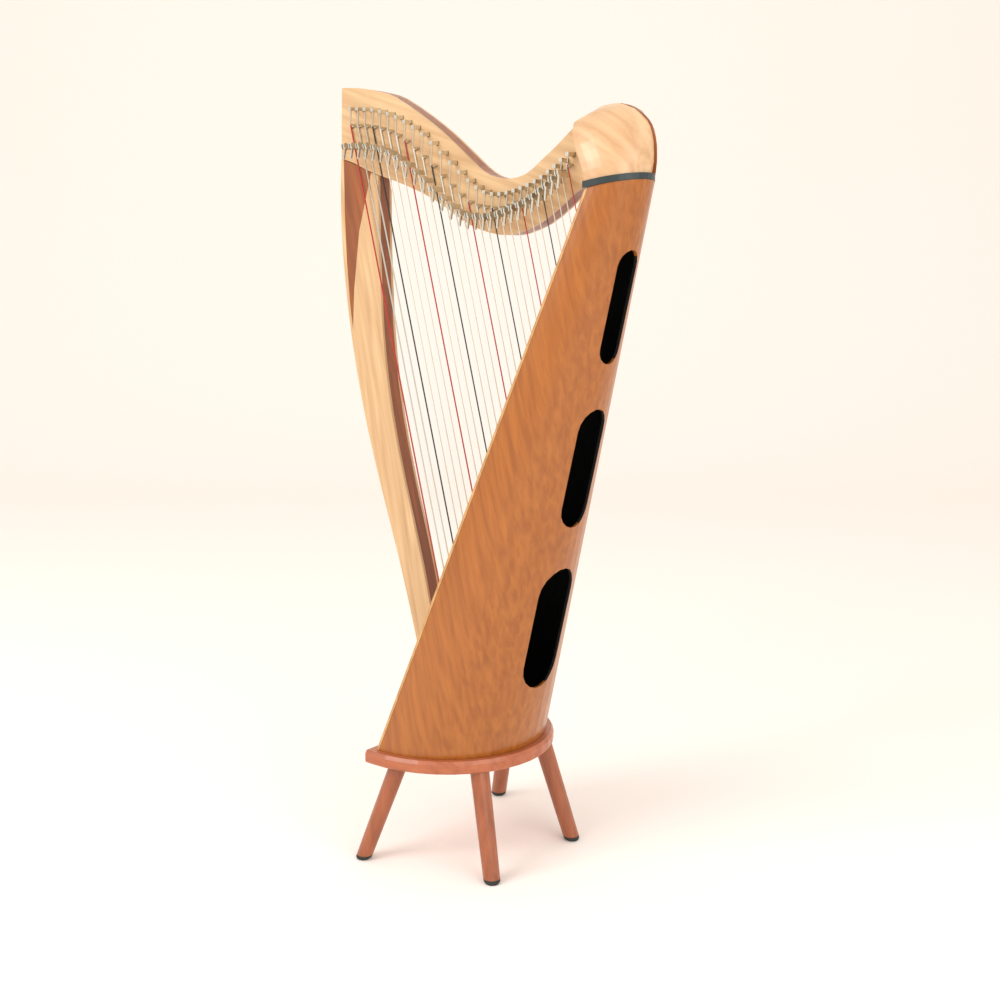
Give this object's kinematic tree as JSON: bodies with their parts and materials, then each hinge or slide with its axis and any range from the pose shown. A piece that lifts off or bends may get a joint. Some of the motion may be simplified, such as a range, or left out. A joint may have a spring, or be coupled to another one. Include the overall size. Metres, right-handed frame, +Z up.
{
  "type": "lever harp",
  "caption": "Floor-standing lever harp with laminated pillar and neck, half-round soundbox on a four-legged base, strings and hinged sharpening levers.",
  "frame": {"origin": "centre of the bounding box, on the floor", "axes": "+Z up, +X from the pillar towards the soundbox, -Y the lever side; y = 0 is the string plane"},
  "size_m": [0.5744, 0.3326, 1.125],
  "materials": {
    "stained_wood": "satin",
    "rubber_feet": "matt",
    "lever_metal": "satin",
    "strings_and_metal": "satin",
    "dark_band": "satin",
    "shell_wood": "satin",
    "board_wood": "satin",
    "core_wood": "satin",
    "pale_wood": "satin"
  },
  "bodies": {
    "harp": {"base_plate": "stained_wood", "brace_lower": "board_wood", "brace_upper": "board_wood", "foot_back_far": "rubber_feet", "foot_back_near": "rubber_feet", "foot_front_far": "rubber_feet", "foot_front_near": "rubber_feet", "leg_back_far": "stained_wood", "leg_back_near": "stained_wood", "leg_front_far": "stained_wood", "leg_front_near": "stained_wood", "neck_core": "core_wood", "neck_far_ply": "pale_wood", "neck_near_ply": "pale_wood", "pillar_core": "core_wood", "pillar_far_inlay": "core_wood", "pillar_far_ply": "pale_wood", "pillar_near_inlay": "core_wood", "pillar_near_ply": "pale_wood", "shoulder_band": "dark_band", "shoulder_far": "pale_wood", "shoulder_near": "pale_wood", "soundboard": "board_wood", "soundbox_shell": "shell_wood", "string_rib": "board_wood", "strings_and_pins": "strings_and_metal"},
    "lever_01_body": {"lever_01": "lever_metal"},
    "lever_02_body": {"lever_02": "lever_metal"},
    "lever_03_body": {"lever_03": "lever_metal"},
    "lever_04_body": {"lever_04": "lever_metal"},
    "lever_05_body": {"lever_05": "lever_metal"},
    "lever_06_body": {"lever_06": "lever_metal"},
    "lever_07_body": {"lever_07": "lever_metal"},
    "lever_08_body": {"lever_08": "lever_metal"},
    "lever_09_body": {"lever_09": "lever_metal"},
    "lever_10_body": {"lever_10": "lever_metal"},
    "lever_11_body": {"lever_11": "lever_metal"},
    "lever_12_body": {"lever_12": "lever_metal"},
    "lever_13_body": {"lever_13": "lever_metal"},
    "lever_14_body": {"lever_14": "lever_metal"},
    "lever_15_body": {"lever_15": "lever_metal"},
    "lever_16_body": {"lever_16": "lever_metal"},
    "lever_17_body": {"lever_17": "lever_metal"},
    "lever_18_body": {"lever_18": "lever_metal"},
    "lever_19_body": {"lever_19": "lever_metal"},
    "lever_20_body": {"lever_20": "lever_metal"},
    "lever_21_body": {"lever_21": "lever_metal"},
    "lever_22_body": {"lever_22": "lever_metal"},
    "lever_23_body": {"lever_23": "lever_metal"},
    "lever_24_body": {"lever_24": "lever_metal"},
    "lever_25_body": {"lever_25": "lever_metal"},
    "lever_26_body": {"lever_26": "lever_metal"},
    "lever_27_body": {"lever_27": "lever_metal"},
    "lever_28_body": {"lever_28": "lever_metal"},
    "lever_29_body": {"lever_29": "lever_metal"}
  },
  "joints": [
    {"name": "lever_01_turn", "type": "hinge", "parent": "harp", "child": "lever_01_body", "pos_m": [-0.24821, -0.0125, 1.03592], "axis": [-0.969, 0, -0.247], "range_deg": [0, 88]},
    {"name": "lever_02_turn", "type": "hinge", "parent": "harp", "child": "lever_02_body", "pos_m": [-0.23292, -0.0125, 1.03576], "axis": [-0.969, 0, -0.247], "range_deg": [0, 88]},
    {"name": "lever_03_turn", "type": "hinge", "parent": "harp", "child": "lever_03_body", "pos_m": [-0.21767, -0.0125, 1.03536], "axis": [-0.969, 0, -0.247], "range_deg": [0, 88]},
    {"name": "lever_04_turn", "type": "hinge", "parent": "harp", "child": "lever_04_body", "pos_m": [-0.2023, -0.0125, 1.03405], "axis": [-0.969, 0, -0.247], "range_deg": [0, 88]},
    {"name": "lever_05_turn", "type": "hinge", "parent": "harp", "child": "lever_05_body", "pos_m": [-0.18673, -0.0125, 1.0316], "axis": [-0.969, 0, -0.247], "range_deg": [0, 88]},
    {"name": "lever_06_turn", "type": "hinge", "parent": "harp", "child": "lever_06_body", "pos_m": [-0.17099, -0.0125, 1.02809], "axis": [-0.969, 0, -0.247], "range_deg": [0, 88]},
    {"name": "lever_07_turn", "type": "hinge", "parent": "harp", "child": "lever_07_body", "pos_m": [-0.15485, -0.0125, 1.02261], "axis": [-0.969, 0, -0.247], "range_deg": [0, 88]},
    {"name": "lever_08_turn", "type": "hinge", "parent": "harp", "child": "lever_08_body", "pos_m": [-0.13816, -0.0125, 1.01456], "axis": [-0.969, 0, -0.247], "range_deg": [0, 88]},
    {"name": "lever_09_turn", "type": "hinge", "parent": "harp", "child": "lever_09_body", "pos_m": [-0.12107, -0.0125, 1.00454], "axis": [-0.969, 0, -0.247], "range_deg": [0, 88]},
    {"name": "lever_10_turn", "type": "hinge", "parent": "harp", "child": "lever_10_body", "pos_m": [-0.10382, -0.0125, 0.9935], "axis": [-0.969, 0, -0.247], "range_deg": [0, 88]},
    {"name": "lever_11_turn", "type": "hinge", "parent": "harp", "child": "lever_11_body", "pos_m": [-0.08637, -0.0125, 0.98127], "axis": [-0.969, 0, -0.247], "range_deg": [0, 88]},
    {"name": "lever_12_turn", "type": "hinge", "parent": "harp", "child": "lever_12_body", "pos_m": [-0.06876, -0.0125, 0.96805], "axis": [-0.969, 0, -0.247], "range_deg": [0, 88]},
    {"name": "lever_13_turn", "type": "hinge", "parent": "harp", "child": "lever_13_body", "pos_m": [-0.05136, -0.0125, 0.95521], "axis": [-0.969, 0, -0.247], "range_deg": [0, 88]},
    {"name": "lever_14_turn", "type": "hinge", "parent": "harp", "child": "lever_14_body", "pos_m": [-0.03426, -0.0125, 0.94319], "axis": [-0.969, 0, -0.247], "range_deg": [0, 88]},
    {"name": "lever_15_turn", "type": "hinge", "parent": "harp", "child": "lever_15_body", "pos_m": [-0.01794, -0.0125, 0.93381], "axis": [-0.969, 0, -0.247], "range_deg": [0, 88]},
    {"name": "lever_16_turn", "type": "hinge", "parent": "harp", "child": "lever_16_body", "pos_m": [-0.00306, -0.0125, 0.92969], "axis": [-0.969, 0, -0.247], "range_deg": [0, 88]},
    {"name": "lever_17_turn", "type": "hinge", "parent": "harp", "child": "lever_17_body", "pos_m": [0.01103, -0.0125, 0.92827], "axis": [-0.969, 0, -0.247], "range_deg": [0, 88]},
    {"name": "lever_18_turn", "type": "hinge", "parent": "harp", "child": "lever_18_body", "pos_m": [0.02491, -0.0125, 0.92731], "axis": [-0.969, 0, -0.247], "range_deg": [0, 88]},
    {"name": "lever_19_turn", "type": "hinge", "parent": "harp", "child": "lever_19_body", "pos_m": [0.03819, -0.0125, 0.92829], "axis": [-0.969, 0, -0.247], "range_deg": [0, 88]},
    {"name": "lever_20_turn", "type": "hinge", "parent": "harp", "child": "lever_20_body", "pos_m": [0.05099, -0.0125, 0.93072], "axis": [-0.969, 0, -0.247], "range_deg": [0, 88]},
    {"name": "lever_21_turn", "type": "hinge", "parent": "harp", "child": "lever_21_body", "pos_m": [0.06347, -0.0125, 0.93404], "axis": [-0.969, 0, -0.247], "range_deg": [0, 88]},
    {"name": "lever_22_turn", "type": "hinge", "parent": "harp", "child": "lever_22_body", "pos_m": [0.07574, -0.0125, 0.93778], "axis": [-0.969, 0, -0.247], "range_deg": [0, 88]},
    {"name": "lever_23_turn", "type": "hinge", "parent": "harp", "child": "lever_23_body", "pos_m": [0.08789, -0.0125, 0.94161], "axis": [-0.969, 0, -0.247], "range_deg": [0, 88]},
    {"name": "lever_24_turn", "type": "hinge", "parent": "harp", "child": "lever_24_body", "pos_m": [0.0998, -0.0125, 0.94596], "axis": [-0.969, 0, -0.247], "range_deg": [0, 88]},
    {"name": "lever_25_turn", "type": "hinge", "parent": "harp", "child": "lever_25_body", "pos_m": [0.11134, -0.0125, 0.95139], "axis": [-0.969, 0, -0.247], "range_deg": [0, 88]},
    {"name": "lever_26_turn", "type": "hinge", "parent": "harp", "child": "lever_26_body", "pos_m": [0.12246, -0.0125, 0.95804], "axis": [-0.969, 0, -0.247], "range_deg": [0, 88]},
    {"name": "lever_27_turn", "type": "hinge", "parent": "harp", "child": "lever_27_body", "pos_m": [0.13335, -0.0125, 0.96522], "axis": [-0.969, 0, -0.247], "range_deg": [0, 88]},
    {"name": "lever_28_turn", "type": "hinge", "parent": "harp", "child": "lever_28_body", "pos_m": [0.14408, -0.0125, 0.97264], "axis": [-0.969, 0, -0.247], "range_deg": [0, 88]},
    {"name": "lever_29_turn", "type": "hinge", "parent": "harp", "child": "lever_29_body", "pos_m": [0.15469, -0.0125, 0.98008], "axis": [-0.969, 0, -0.247], "range_deg": [0, 88]}
  ]
}
